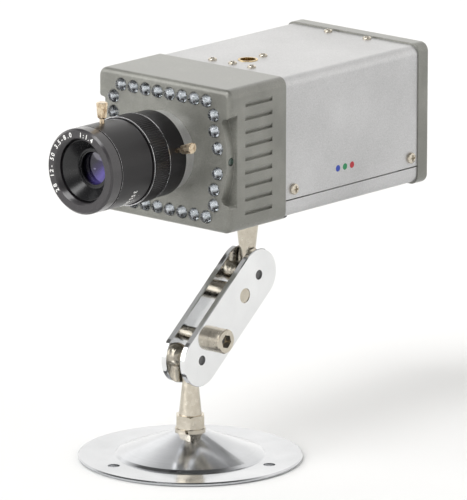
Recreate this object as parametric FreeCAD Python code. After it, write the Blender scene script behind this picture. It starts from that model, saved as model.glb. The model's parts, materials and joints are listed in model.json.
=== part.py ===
import FreeCAD, Part
import math
import os

# Infrared box camera with a varifocal lens, on a double-ball clamp bracket and a round base.
# Millimetres. Origin: centre of the base's underside. +Z up, the lens looks along -Y,
# +X is the side that carries the light sensor and the clamp screw's head.

# ---------------------------------------------------------------- driving dimensions

# Base plate and its fasteners
BASE_RADIUS = 45.0
SHEET = 1.5
STEP_RADIUS = 29.8
STEP_RISE = 1.0
CONE_TOP_RADIUS = 7.0
CONE_TOP_Z = 11.0
BASE_BOLT_PCD = 71.5
BASE_BOLT_HOLE_RADIUS = 2.4
BASE_BOLT_ANGLES = (13.0, 133.0, 253.0)
THREAD_RADIUS = 3.175
THREAD_HOLE_RADIUS = 3.23
NUT_ACROSS_FLATS = 11.1
NUT_HEIGHT = 5.6
NUT_TURN = 12.0
WASHER_RADIUS = 6.1
WASHER_HEIGHT = 1.3

# Ball studs and the clamp link between them
BALL_RADIUS = 5.0
SEAT_RADIUS = 5.06
NECK_RADIUS = 2.7
STUD_FOOT_RADIUS = 4.6
LOWER_STUD_REACH = 23.0
UPPER_STUD_REACH = 21.5
LINK_SPAN = 44.9
LINK_RISE_ANGLE = 39.8
PLATE_OUTER_X = 6.2
PLATE_THICKNESS = 2.5
PLATE_END_RADIUS = 10.7
SEAT_HOLE_RADIUS = 2.0
FASTENER_OFFSET = 11.0
PIN_RADIUS = 3.0
PIN_SHOULDER_RADIUS = 4.0
CLAMP_SHANK_RADIUS = 3.0
CLAMP_HEAD_RADIUS = 5.0
CLAMP_HEAD_HEIGHT = 5.5
CLAMP_HEX = 5.0

# Housing
BODY_WIDTH = 68.7
BODY_HEIGHT = 56.6
BODY_CORNER = 3.75
SKIN = 1.2
BEZEL_WIDTH = 69.6
BEZEL_HEIGHT = 58.0
BEZEL_CORNER = 3.7
BEZEL_EDGE = 2.0
REAR_EDGE = 1.3
BEZEL_WALL = 2.5
FACE_THICKNESS = 3.0
BEZEL_DEPTH = 33.9
BODY_END = 115.2
REAR_END = 121.9
SEAM_BELOW_AXIS = 21.2
SEAM_GAP = 0.5
MOUNT_DEPTH = 50.6
BLOCK_HEIGHT = 3.5
BLOCK_LENGTH = 30.0
BLOCK_WIDTH = 20.0
FRONT_SCREW_DEPTH = 38.9
FRONT_TONGUE_END = 43.6
REAR_SCREW_DEPTH = 111.1
REAR_TONGUE_START = 106.9
SIDE_SCREW_HEIGHT = -17.1
TOP_SCREW_X = 10.3
TOP_SCREW_DEPTHS = (41.0, 112.0)
INSERT_SCREW_OFFSET = 9.3
INSERT_FLANGE_LENGTH = 24.0
PANEL_WIDTH = 63.9
PANEL_HEIGHT = 52.3
PANEL_PLAY = 0.3

# Infrared lamps and light sensor
LAMP_RADIUS = 2.5
LAMP_HOLE_RADIUS = 2.6
LAMP_PROUD = 2.4
LAMP_BASE_DEPTH = 9.0
LAMP_PITCH = 6.4
LAMP_ROW_HEIGHT = 23.4
LAMP_COLUMN = ((26.3, 18.2), (26.5, 11.8), (28.4, 5.1))
PHOTOCELL_RADIUS = 1.6
PHOTOCELL_DEPTH = 2.5

# Side pockets and louvres of the front bezel
POCKET_DEPTH = 4.6
POCKET_BOW = 1.6
POCKET_HALF = 15.4
POCKET_RUN = 3.4
POCKET_WALL = 4.3
LOUVRE_COUNT = 9
LOUVRE_PITCH = 5.45
LOUVRE_FRONT = 9.1
LOUVRE_REAR = 25.3
LOUVRE_RISE = 1.4
LOUVRE_DROP = 0.6
LOUVRE_INSET = 0.95

# Lens: distances along the axis are measured from the bezel's face, positive into the housing
MOUNT_RING_RADIUS = 16.0
MOUNT_RING_FRONT = -5.5
BARREL_RADIUS = 13.5
RING_BORE_RADIUS = 13.56
ZOOM_RADIUS = 17.3
ZOOM_FRONT = -15.5
IRIS_RADIUS = 17.8
IRIS_FRONT = -25.3
FOCUS_RADIUS = 17.1
FOCUS_FRONT = -43.2
LENS_FRONT = -49.5
RING_GAP = 0.2
FILTER_BORE_RADIUS = 12.9
FRONT_CELL_RADIUS = 12.1
REAR_CELL_RADIUS = 10.5
SPIGOT_RADIUS = 15.3
SPIGOT_REAR = -40.3
BARREL_FRONT = -40.0
IRIS_STACK_FRONT = -31.8
IRIS_STACK_REAR = -29.0
REAR_CELL_FRONT = -24.9
REAR_CELL_REAR = -14.4
FRONT_CELL_REAR = -33.4
FRONT_LIP = -40.7
GLASS_RADIUS = 7.55
BLADE_COUNT = 5
BLADE_PIVOT_RADIUS = 9.3
BLADE_THICKNESS = 0.22
BLADE_PITCH = 0.36
ZOOM_LOCK_ANGLE = 15.0
ZOOM_LOCK_DEPTH = -11.0
FOCUS_LOCK_ANGLE = 90.0
FOCUS_LOCK_DEPTH = -36.3
LOCK_SHANK_RADIUS = 1.0

# Rear panel, sockets and main board
BNC_PLACE = (14.0, -9.0)
DC_PLACE = (-13.0, -9.0)
POWER_LAMP_PLACE = (-13.0, 8.0)
MAIN_BOARD_HEIGHT = -12.0
MAIN_BOARD_START = 50.0
MAIN_BOARD_END = 107.0

# ---------------------------------------------------------------- derived places

LOWER_BALL_Z = CONE_TOP_Z + WASHER_HEIGHT + NUT_HEIGHT + LOWER_STUD_REACH
LINK_DIRECTION = FreeCAD.Vector(
    0, math.cos(math.radians(LINK_RISE_ANGLE)), math.sin(math.radians(LINK_RISE_ANGLE))
)
LOWER_BALL = FreeCAD.Vector(0, 0, LOWER_BALL_Z)
UPPER_BALL = LOWER_BALL + LINK_DIRECTION * LINK_SPAN
UPPER_NUT_Z = UPPER_BALL.z + UPPER_STUD_REACH
BLOCK_Z = UPPER_NUT_Z + NUT_HEIGHT + 0.1
BODY_BOTTOM_Z = BLOCK_Z + BLOCK_HEIGHT
AXIS_Z = BODY_BOTTOM_Z + BODY_HEIGHT / 2
STUD_Y = UPPER_BALL.y
FACE_Y = STUD_Y - MOUNT_DEPTH
PLATE_INNER_X = PLATE_OUTER_X - PLATE_THICKNESS
PANEL_BACK = REAR_END - 2.0
PANEL_FRONT = PANEL_BACK - 1.5
SLIP = 0.05

X = FreeCAD.Vector(1, 0, 0)
Y = FreeCAD.Vector(0, 1, 0)
Z = FreeCAD.Vector(0, 0, 1)


def point(x, y, z):
    return FreeCAD.Vector(x, y, z)


def housing(x, depth, height):
    """Point given by x, depth behind the bezel's face and height above the lens axis."""
    return FreeCAD.Vector(x, FACE_Y + depth, AXIS_Z + height)


# ---------------------------------------------------------------- shape helpers


def save(name, shape):
    shape.exportStep("parts/" + name + ".step")


def group(solids):
    return Part.makeCompound(solids)


def rod(radius, start, end):
    axis = end - start
    return Part.makeCylinder(radius, axis.Length, start, axis)


def block(low, high):
    size = high - low
    return Part.makeBox(size.x, size.y, size.z, low)


def side_of(axis):
    """A direction square to the axis, from which profiles are measured."""
    return X if abs(axis.x) < 0.5 else Z


def turned(profile, start, axis):
    """Solid turned from a closed outline of (radius, distance along the axis)."""
    side = side_of(axis)
    corners = [start + side * radius + axis * distance for radius, distance in profile]
    outline = Part.makePolygon(corners + [corners[0]])
    return Part.Face(outline).revolve(start, axis, 360)


def regular_outline(radii, start, axis, turn=0.0):
    """Closed polygon round the axis whose corners take the radii in turn."""
    side = side_of(axis)
    across = axis.cross(side)
    corners = []
    for index, radius in enumerate(radii):
        angle = math.radians(turn + 360.0 * index / len(radii))
        corners.append(start + (side * math.cos(angle) + across * math.sin(angle)) * radius)
    return Part.makePolygon(corners + [corners[0]])


def hexagon(across_flats, start, axis, height, turn=0.0):
    outline = regular_outline([across_flats / math.sqrt(3)] * 6, start, axis, turn)
    return Part.Face(outline).extrude(axis * height)


def hex_nut(start, axis):
    """Nut with both faces chamfered to a circle, standing on start."""
    corner = NUT_ACROSS_FLATS / math.sqrt(3)
    flat = NUT_ACROSS_FLATS / 2
    chamfer = (corner - flat) * 0.55
    envelope = [(0, 0), (flat, 0), (corner, chamfer)]
    envelope += [(corner, NUT_HEIGHT - chamfer), (flat, NUT_HEIGHT), (0, NUT_HEIGHT)]
    nut = hexagon(NUT_ACROSS_FLATS, start, axis, NUT_HEIGHT, NUT_TURN)
    nut = nut.common(turned(envelope, start, axis))
    countersink = 0.5
    bore = [(0, -1), (THREAD_HOLE_RADIUS + countersink + 1, -1)]
    bore += [(THREAD_HOLE_RADIUS, countersink), (THREAD_HOLE_RADIUS, NUT_HEIGHT - countersink)]
    bore += [(THREAD_HOLE_RADIUS + countersink + 1, NUT_HEIGHT + 1), (0, NUT_HEIGHT + 1)]
    return nut.cut(turned(bore, start, axis))


def rounded_outline(width, height, corner, depth):
    """Rounded rectangle square to the lens axis, centred on it, at a depth."""
    w = width / 2
    h = height / 2
    k = corner * (1 - math.sqrt(0.5))
    edges = []
    for side_x, side_z in ((1, 1), (-1, 1), (-1, -1), (1, -1)):
        near_side = housing(side_x * w, depth, side_z * (h - corner))
        near_top = housing(side_x * (w - corner), depth, side_z * h)
        middle = housing(side_x * (w - k), depth, side_z * (h - k))
        ends = (near_side, near_top) if side_x == side_z else (near_top, near_side)
        edges.append(Part.Arc(ends[0], middle, ends[1]).toShape())
    edges.append(Part.makeLine(housing(w - corner, depth, h), housing(corner - w, depth, h)))
    edges.append(Part.makeLine(housing(-w, depth, h - corner), housing(-w, depth, corner - h)))
    edges.append(Part.makeLine(housing(corner - w, depth, -h), housing(w - corner, depth, -h)))
    edges.append(Part.makeLine(housing(w, depth, corner - h), housing(w, depth, h - corner)))
    return Part.Wire(Part.__sortEdges__(edges))


def rounded_bar(width, height, corner, start, end):
    """Rounded rectangle section run along the lens axis between two depths."""
    face = Part.Face(rounded_outline(width, height, corner, start))
    return face.extrude(Y * (end - start))


def rounded_slab(length_x, length_y, corner, centre, height):
    """Upright plate with rounded corners, centred on a point of its underside."""
    low = centre - X * (length_x / 2) - Y * (length_y / 2)
    slab = Part.makeBox(length_x, length_y, height, low)
    uprights = [edge for edge in slab.Edges if abs(edge.tangentAt(0).z) > 0.9]
    return slab.makeFillet(corner, uprights)


def cross_recess(centre, axis, size, depth):
    """Two crossed bars that cut a driver recess inwards from a screw's head."""
    side = side_of(axis)
    across = axis.cross(side)
    bars = []
    for long_way, short_way in ((side, across), (across, side)):
        corner = centre - long_way * (size / 2) - short_way * (size * 0.13) - axis * depth
        corners = [corner]
        corners.append(corner + long_way * size)
        corners.append(corner + long_way * size + short_way * (size * 0.26))
        corners.append(corner + short_way * (size * 0.26))
        face = Part.Face(Part.makePolygon(corners + [corner]))
        bars.append(face.extrude(axis * (depth + 1)))
    return bars[0].fuse(bars[1])


def pan_screw(seat, axis, head_radius, head_height, shank_radius, shank_length):
    """Pan head screw: axis points out of the head, seat is under the head."""
    crown = head_height * 0.45
    profile = [(0, -shank_length), (shank_radius * 0.7, -shank_length)]
    profile += [(shank_radius, -shank_length + shank_radius * 0.5), (shank_radius, 0)]
    profile += [(head_radius, 0), (head_radius, head_height - crown)]
    profile += [(head_radius * 0.92, head_height - crown * 0.5)]
    profile += [(head_radius * 0.72, head_height), (0, head_height)]
    screw = turned(profile, seat, axis)
    recess = cross_recess(seat + axis * head_height, axis, head_radius * 1.15, head_height * 0.6)
    return screw.cut(recess)


# ---------------------------------------------------------------- base


def base_plate():
    """Pressed sheet: flat rim, small step, and a shallow cone up to the stud's seat."""
    slope = (CONE_TOP_Z - SHEET - STEP_RISE) / (STEP_RADIUS - 0.6 - CONE_TOP_RADIUS)
    profile = [(BASE_RADIUS - 0.5, 0), (BASE_RADIUS, 0.5), (BASE_RADIUS, SHEET - 0.5)]
    profile += [(BASE_RADIUS - 0.5, SHEET), (STEP_RADIUS + 0.5, SHEET)]
    profile += [(STEP_RADIUS - 0.6, SHEET + STEP_RISE), (CONE_TOP_RADIUS, CONE_TOP_Z)]
    profile += [(THREAD_HOLE_RADIUS, CONE_TOP_Z), (THREAD_HOLE_RADIUS, CONE_TOP_Z - SHEET)]
    profile += [(CONE_TOP_RADIUS - 0.4, CONE_TOP_Z - SHEET)]
    profile += [(STEP_RADIUS - 1.1 - SHEET * slope, STEP_RISE), (STEP_RADIUS - 0.4, 0)]
    plate = turned(profile, point(0, 0, 0), Z)
    for angle in BASE_BOLT_ANGLES:
        x = math.cos(math.radians(angle)) * BASE_BOLT_PCD / 2
        y = math.sin(math.radians(angle)) * BASE_BOLT_PCD / 2
        plate = plate.cut(rod(BASE_BOLT_HOLE_RADIUS, point(x, y, -1), point(x, y, SHEET + 1)))
    return plate


def base_lock_washer():
    """Split spring washer with its slanting cut at the front."""
    start = point(0, 0, CONE_TOP_Z)
    ring = turned(
        [(THREAD_HOLE_RADIUS, 0), (WASHER_RADIUS, 0), (WASHER_RADIUS, WASHER_HEIGHT),
         (THREAD_HOLE_RADIUS, WASHER_HEIGHT)],
        start, Z,
    )
    slit = block(point(0, -0.5, CONE_TOP_Z - 1), point(WASHER_RADIUS + 1, 0.5, CONE_TOP_Z + 3))
    slit.rotate(start, X, 20)
    slit.rotate(start, Z, -60)
    return ring.cut(slit)


def ball_stud(ball, axis, reach, thread_length):
    """Ball, neck that widens to a foot, and a threaded end, along the axis."""
    side = side_of(axis)
    neck_distance = math.sqrt(BALL_RADIUS**2 - NECK_RADIUS**2)
    bevel = 0.5
    pole = ball - axis * BALL_RADIUS
    neck = ball + side * NECK_RADIUS + axis * neck_distance
    corners = [neck]
    corners.append(ball + side * STUD_FOOT_RADIUS + axis * reach)
    corners.append(ball + side * THREAD_RADIUS + axis * reach)
    end = reach + thread_length
    corners.append(ball + side * THREAD_RADIUS + axis * (end - bevel))
    corners.append(ball + side * (THREAD_RADIUS - bevel) + axis * end)
    corners.append(ball + axis * end)
    corners.append(pole)
    edges = [Part.Arc(pole, ball + side * BALL_RADIUS, neck).toShape()]
    for first, second in zip(corners, corners[1:]):
        edges.append(Part.makeLine(first, second))
    return Part.Face(Part.Wire(edges)).revolve(ball, axis, 360)


# ---------------------------------------------------------------- clamp link


def clamp_plate(side):
    """One polished plate of the link: side is +1 for the screw's head side, -1 for the other."""
    across = FreeCAD.Vector(0, -LINK_DIRECTION.z, LINK_DIRECTION.y) * PLATE_END_RADIUS
    inner = X * (side * PLATE_INNER_X)
    low = LOWER_BALL + inner
    high = UPPER_BALL + inner
    edges = [Part.makeLine(low + across, high + across)]
    end = high + LINK_DIRECTION * PLATE_END_RADIUS
    edges.append(Part.Arc(high + across, end, high - across).toShape())
    edges.append(Part.makeLine(high - across, low - across))
    end = low - LINK_DIRECTION * PLATE_END_RADIUS
    edges.append(Part.Arc(low - across, end, low + across).toShape())
    plate = Part.Face(Part.Wire(edges)).extrude(X * (side * PLATE_THICKNESS))
    rims = [edge for edge in plate.Edges if edge.BoundBox.XLength < 0.01]
    plate = plate.makeChamfer(0.3, rims)
    through = X * (side * PLATE_OUTER_X * 2)
    for ball in (LOWER_BALL, UPPER_BALL):
        plate = plate.cut(Part.makeSphere(SEAT_RADIUS, ball))
        plate = plate.cut(rod(SEAT_HOLE_RADIUS, ball, ball + through))
    pin = UPPER_BALL - LINK_DIRECTION * FASTENER_OFFSET
    plate = plate.cut(rod(PIN_RADIUS + SLIP, pin, pin + through))
    screw = LOWER_BALL + LINK_DIRECTION * FASTENER_OFFSET
    clearance = 0.3 if side > 0 else SLIP
    return plate.cut(rod(CLAMP_SHANK_RADIUS + clearance, screw, screw + through))


def spacer_pin():
    """Shouldered pin that keeps the plates apart near the upper ball."""
    centre = UPPER_BALL - LINK_DIRECTION * FASTENER_OFFSET
    end = PLATE_OUTER_X - 0.3
    profile = [(0, -end), (PIN_RADIUS, -end), (PIN_RADIUS, -PLATE_INNER_X)]
    profile += [(PIN_SHOULDER_RADIUS, -PLATE_INNER_X), (PIN_SHOULDER_RADIUS, PLATE_INNER_X)]
    profile += [(PIN_RADIUS, PLATE_INNER_X), (PIN_RADIUS, end), (0, end)]
    return turned(profile, centre, X)


def clamp_screw():
    """Socket cap screw that squeezes the plates on the lower ball."""
    centre = LOWER_BALL + LINK_DIRECTION * FASTENER_OFFSET
    seat = PLATE_OUTER_X + SLIP
    top = seat + CLAMP_HEAD_HEIGHT
    bevel = 0.5
    profile = [(0, -PLATE_OUTER_X), (CLAMP_SHANK_RADIUS - bevel, -PLATE_OUTER_X)]
    profile += [(CLAMP_SHANK_RADIUS, bevel - PLATE_OUTER_X), (CLAMP_SHANK_RADIUS, seat)]
    profile += [(CLAMP_HEAD_RADIUS, seat), (CLAMP_HEAD_RADIUS, top - bevel)]
    profile += [(CLAMP_HEAD_RADIUS - bevel, top), (0, top)]
    screw = turned(profile, centre, X)
    socket_depth = 3.0
    socket = hexagon(CLAMP_HEX, centre + X * (top - socket_depth), X, socket_depth + 1, 15)
    return screw.cut(socket)


# ---------------------------------------------------------------- tripod block and inserts


def block_screw_places():
    return [(x, y) for x in (-11, 11) for y in (-5.5, 5.5)]


def tripod_block():
    """Plastic foot under the housing that carries the lower camera thread."""
    foot = point(0, STUD_Y, BLOCK_Z)
    shape = rounded_slab(BLOCK_LENGTH, BLOCK_WIDTH, 4.0, foot, BLOCK_HEIGHT)
    shape = shape.cut(rod(5.0 + SLIP, foot - Z, foot + Z * 10))
    for x, y in block_screw_places():
        place = foot + X * x + Y * y
        shape = shape.cut(rod(1.25 + SLIP, place - Z, place + Z * 10))
        shape = shape.cut(rod(2.6, place - Z, place + Z * 1.6))
    return shape


def tripod_block_screws():
    screws = []
    for x, y in block_screw_places():
        seat = point(x, STUD_Y + y, BLOCK_Z + 1.6)
        screws.append(pan_screw(seat, Z * -1, 2.3, 1.4, 1.25, 5.0))
    return group(screws)


def tripod_insert():
    """Flanged brass nut that takes the upper stud's thread."""
    profile = [(THREAD_HOLE_RADIUS, 0.1), (5.0, 0.1), (5.0, BLOCK_HEIGHT + SKIN)]
    profile += [(6.6, BLOCK_HEIGHT + SKIN), (6.6, BLOCK_HEIGHT + SKIN + 1.4)]
    profile += [(5.4, BLOCK_HEIGHT + SKIN + 1.4), (5.4, 8.5), (THREAD_HOLE_RADIUS, 8.5)]
    return turned(profile, point(0, STUD_Y, BLOCK_Z), Z)


def top_insert():
    """Brass plate under the top cover with a collar that shows through it."""
    top = housing(0, MOUNT_DEPTH, BODY_HEIGHT / 2)
    flange_height = 3.0
    flange = rounded_slab(10, INSERT_FLANGE_LENGTH, 3.0, top - Z * (SKIN + flange_height), flange_height)
    collar = rod(4.0, top - Z * 8, top + Z * 0.25)
    shape = flange.fuse(collar).removeSplitter()
    shape = shape.cut(rod(THREAD_RADIUS, top - Z * 6.5, top + Z * 1))
    for side in (-1, 1):
        place = top + Y * (side * INSERT_SCREW_OFFSET)
        shape = shape.cut(rod(1.0 + SLIP, place - Z * 8, place))
    return shape


def top_insert_screws():
    top = housing(0, MOUNT_DEPTH, BODY_HEIGHT / 2)
    screws = []
    for side in (-1, 1):
        seat = top + Y * (side * INSERT_SCREW_OFFSET)
        screws.append(pan_screw(seat, Z, 1.75, 0.9, 1.0, 4.0))
    return group(screws)


# ---------------------------------------------------------------- housing


def side_screw_places():
    """Seat and outward direction of each screw in the housing's sides."""
    depths = (FRONT_SCREW_DEPTH, REAR_SCREW_DEPTH)
    return [(housing(side * BODY_WIDTH / 2, depth, SIDE_SCREW_HEIGHT), X * side)
            for side in (-1, 1) for depth in depths]


def top_screw_places():
    return [(housing(x, depth, BODY_HEIGHT / 2), Z)
            for x in (-TOP_SCREW_X, TOP_SCREW_X) for depth in TOP_SCREW_DEPTHS]


def tray_screw_places():
    return [(housing(x, depth, -BODY_HEIGHT / 2), Z * -1)
            for side in (-1, 1)
            for x, depth in ((side * 27, FRONT_SCREW_DEPTH), (side * 20, REAR_SCREW_DEPTH))]


def screw_set(places, head_radius, head_height, shank_radius, shank_length):
    screws = []
    for seat, axis in places:
        screws.append(pan_screw(seat, axis, head_radius, head_height, shank_radius, shank_length))
    return group(screws)


def drill(shape, places, radius, length):
    """Cut a screw's hole at each place, inwards from its seat."""
    for seat, axis in places:
        shape = shape.cut(rod(radius + SLIP, seat + axis * 0.5, seat - axis * length))
    return shape


def body_tube():
    tube = rounded_bar(BODY_WIDTH, BODY_HEIGHT, BODY_CORNER, BEZEL_DEPTH, BODY_END)
    inner_corner = BODY_CORNER - SKIN
    core = rounded_bar(
        BODY_WIDTH - 2 * SKIN, BODY_HEIGHT - 2 * SKIN, inner_corner, BEZEL_DEPTH - 1, BODY_END + 1
    )
    return tube.cut(core)


def top_cover():
    """Bent cover: the roof and both sides down to the seam."""
    low = housing(-60, -60, -60)
    high = housing(60, 160, SEAM_GAP / 2 - SEAM_BELOW_AXIS)
    cover = body_tube().cut(block(low, high))
    cover = drill(cover, side_screw_places(), 1.4, 3)
    cover = drill(cover, top_screw_places(), 1.0, 3)
    top = housing(0, MOUNT_DEPTH, BODY_HEIGHT / 2)
    cover = cover.cut(rod(4.0 + SLIP, top - Z * 3, top + Z))
    for side in (-1, 1):
        place = top + Y * (side * INSERT_SCREW_OFFSET)
        cover = cover.cut(rod(1.0 + SLIP, place - Z * 3, place + Z))
    return cover


def bottom_tray():
    """Floor of the housing, with upstands that back the seam."""
    low = housing(-60, -60, -SEAM_GAP / 2 - SEAM_BELOW_AXIS)
    tray = body_tube().cut(block(low, housing(60, 160, 60)))
    inner_x = BODY_WIDTH / 2 - SKIN
    for side in (-1, 1):
        xs = sorted((side * inner_x, side * (inner_x - 1.0)))
        tray = tray.fuse(block(housing(xs[0], 47, -25), housing(xs[1], 105, -15)))
    tray = tray.removeSplitter()
    tray = drill(tray, tray_screw_places(), 1.25, 3)
    foot = point(0, STUD_Y, BLOCK_Z)
    tray = tray.cut(rod(5.0 + SLIP, foot, foot + Z * 8))
    for x, y in block_screw_places():
        place = foot + X * x + Y * y
        tray = tray.cut(rod(1.25 + SLIP, place, place + Z * 8))
    return tray


def tongue(start, end):
    """Ring inside the housing's skin that the covers are screwed to."""
    play = 0.15
    wall = 1.6
    width = BODY_WIDTH - 2 * SKIN - 2 * play
    height = BODY_HEIGHT - 2 * SKIN - 2 * play
    ring = rounded_bar(width, height, 2.4, start, end)
    ring = ring.cut(rounded_bar(width - 2 * wall, height - 2 * wall, 1.4, start - 1, end + 1))
    ring = drill(ring, side_screw_places(), 1.4, 5)
    ring = drill(ring, top_screw_places(), 1.0, 5)
    return drill(ring, tray_screw_places(), 1.25, 5)


def lamp_places():
    """Centres of the infrared lamps round the lens, as (x, height) pairs."""
    places = []
    for side_z in (-1, 1):
        for index in range(8):
            places.append(((index - 3.5) * LAMP_PITCH, side_z * LAMP_ROW_HEIGHT))
        for side_x in (-1, 1):
            places += [(side_x * x, side_z * z) for x, z in LAMP_COLUMN]
    return places


def pocket_cutter(side):
    """Cutter of the bowed recess at the front of each side of the bezel."""
    face_x = BEZEL_WIDTH / 2
    depth = POCKET_DEPTH
    half = POCKET_HALF
    run = POCKET_RUN
    start = -2.0

    def place(inset, height):
        return housing(side * (face_x - inset), start, height)

    edges = [Part.Arc(place(depth, half), place(POCKET_BOW, 0), place(depth, -half)).toShape()]
    for end in (-1, 1):
        foot = place(depth, end * half)
        turn = place(depth / 2, end * (half + run * 0.55))
        rim = place(0, end * (half + run))
        edges.append(Part.Arc(foot, place(depth * 0.9, end * (half + run * 0.3)), turn).toShape())
        edges.append(Part.Arc(turn, place(depth * 0.13, end * (half + run * 0.8)), rim).toShape())
        edges.append(Part.makeLine(rim, place(-2, end * (half + run))))
    edges.append(Part.makeLine(place(-2, half + run), place(-2, -half - run)))
    outline = Part.Wire(Part.__sortEdges__(edges))
    return Part.Face(outline).extrude(Y * (POCKET_WALL - start))


def louvre_cutters(side):
    """Grooves with a slanting back, flush at the top and deepest at the bottom edge."""
    face_x = side * BEZEL_WIDTH / 2
    cutters = []
    for index in range(LOUVRE_COUNT):
        middle = (index - (LOUVRE_COUNT - 1) / 2) * LOUVRE_PITCH
        top = middle + LOUVRE_RISE
        bottom = middle - LOUVRE_DROP
        corners = [housing(face_x, LOUVRE_FRONT, top)]
        corners.append(housing(face_x - side * LOUVRE_INSET, LOUVRE_FRONT, bottom))
        corners.append(housing(face_x + side, LOUVRE_FRONT, bottom))
        corners.append(housing(face_x + side, LOUVRE_FRONT, top))
        outline = Part.makePolygon(corners + [corners[0]])
        cutters.append(Part.Face(outline).extrude(Y * (LOUVRE_REAR - LOUVRE_FRONT)))
    return cutters


def front_bezel():
    """Cast front: lamp face, side pockets, louvres and a tongue for the covers."""
    shell = rounded_bar(BEZEL_WIDTH, BEZEL_HEIGHT, BEZEL_CORNER, 0, BEZEL_DEPTH)
    rim = [edge for edge in shell.Edges if edge.BoundBox.YMax < FACE_Y + 0.01]
    shell = shell.makeFillet(BEZEL_EDGE, rim)
    rear_rim = [edge for edge in shell.Edges if edge.BoundBox.YMin > FACE_Y + BEZEL_DEPTH - 0.01]
    shell = shell.makeFillet(0.4, rear_rim)
    inner_width = BEZEL_WIDTH - 2 * BEZEL_WALL
    inner_height = BEZEL_HEIGHT - 2 * BEZEL_WALL
    shell = shell.cut(
        rounded_bar(inner_width, inner_height, 1.5, LAMP_BASE_DEPTH, BEZEL_DEPTH + 1)
    )
    shell = shell.cut(rounded_bar(53, inner_height, 1.5, FACE_THICKNESS, LAMP_BASE_DEPTH + 1))
    shell = shell.fuse(tongue(BEZEL_DEPTH - 2.5, FRONT_TONGUE_END)).removeSplitter()
    shell = shell.cut(block(housing(-6, 38.1, 20), housing(6, 50, 30)))
    shell = shell.cut(rod(15.5 + SLIP, housing(0, -3, 0), housing(0, 10, 0)))
    for x, z in lamp_places():
        shell = shell.cut(rod(LAMP_HOLE_RADIUS, housing(x, -3, z), housing(x, 10, z)))
    for side in (-1, 1):
        shell = shell.cut(pocket_cutter(side))
        for cutter in louvre_cutters(side):
            shell = shell.cut(cutter)
    sight = rod(PHOTOCELL_RADIUS + SLIP, housing(24, PHOTOCELL_DEPTH, 0), housing(40, PHOTOCELL_DEPTH, 0))
    return shell.cut(sight)


def ir_leds():
    """Clear domed lamps, one solid each."""
    dome_start = LAMP_RADIUS - LAMP_PROUD
    lamps = []
    for x, z in lamp_places():
        base = housing(x, LAMP_BASE_DEPTH, z)
        centre = housing(x, dome_start, z)
        dome = Part.makeSphere(LAMP_RADIUS, centre)
        lamps.append(rod(LAMP_RADIUS, base, centre).fuse(dome).removeSplitter())
    return group(lamps)


def led_board():
    play = 0.3
    width = BEZEL_WIDTH - 2 * (BEZEL_WALL + play)
    height = BEZEL_HEIGHT - 2 * (BEZEL_WALL + play)
    board = rounded_bar(width, height, 1.2, LAMP_BASE_DEPTH, LAMP_BASE_DEPTH + 1.6)
    return board.cut(block(housing(-17, 0, -17), housing(17, 20, 17)))


def light_sensor():
    """Photocell that looks out of the pocket on the +X side."""
    tip = BEZEL_WIDTH / 2 - POCKET_BOW - 0.15
    inner_end = 26.6
    radius = PHOTOCELL_RADIUS
    profile = [(0, inner_end), (radius, inner_end), (radius, tip - 0.4), (radius - 0.4, tip), (0, tip)]
    return turned(profile, housing(0, PHOTOCELL_DEPTH, 0), X)


def rear_bezel():
    """Frame round the rear panel, with its own tongue into the housing."""
    frame = rounded_bar(BEZEL_WIDTH, BEZEL_HEIGHT, BEZEL_CORNER, BODY_END, REAR_END)
    rim = [edge for edge in frame.Edges if edge.BoundBox.YMin > FACE_Y + REAR_END - 0.01]
    frame = frame.makeFillet(REAR_EDGE, rim)
    opening_width = PANEL_WIDTH + PANEL_PLAY
    opening_height = PANEL_HEIGHT + PANEL_PLAY
    frame = frame.cut(rounded_bar(opening_width, opening_height, 1.5, BODY_END - 1, REAR_END + 1))
    frame = frame.fuse(tongue(REAR_TONGUE_START, BODY_END + 2.0))
    boss_end = PANEL_FRONT
    for x, z in panel_screw_places():
        boss = rod(3.4, housing(x, BODY_END - 2, z), housing(x, boss_end, z))
        corner_x = math.copysign(opening_width / 2 + 0.7, x)
        corner_z = math.copysign(opening_height / 2 + 0.3, z)
        low = housing(min(x, corner_x), BODY_END, min(z, corner_z))
        high = housing(max(x, corner_x), boss_end, max(z, corner_z))
        frame = frame.fuse(boss).fuse(block(low, high))
    frame = frame.removeSplitter()
    for x, z in panel_screw_places():
        hole = rod(1.25 + SLIP, housing(x, REAR_END - 9, z), housing(x, REAR_END, z))
        frame = frame.cut(hole)
    return frame


# ---------------------------------------------------------------- rear panel and sockets


def panel_screw_places():
    return [(x, z) for x in (-28.2, 28.2) for z in (-22.6, 22.6)]


def rear_panel():
    panel = rounded_bar(PANEL_WIDTH, PANEL_HEIGHT, 1.4, PANEL_FRONT, PANEL_BACK)
    for x, z in panel_screw_places():
        panel = panel.cut(rod(1.25 + SLIP, housing(x, 110, z), housing(x, 130, z)))
    x, z = BNC_PLACE
    panel = panel.cut(rod(5.5 + SLIP, housing(x, 110, z), housing(x, 130, z)))
    x, z = POWER_LAMP_PLACE
    panel = panel.cut(rod(1.5 + SLIP, housing(x, 110, z), housing(x, 130, z)))
    x, z = DC_PLACE
    return panel.cut(block(housing(x - 4.55, 110, z - 5.55), housing(x + 4.55, 130, z + 5.55)))


def rear_panel_screws():
    seats = [housing(x, PANEL_BACK, z) for x, z in panel_screw_places()]
    return group([pan_screw(seat, Y, 2.4, 1.4, 1.25, 6.0) for seat in seats])


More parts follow.
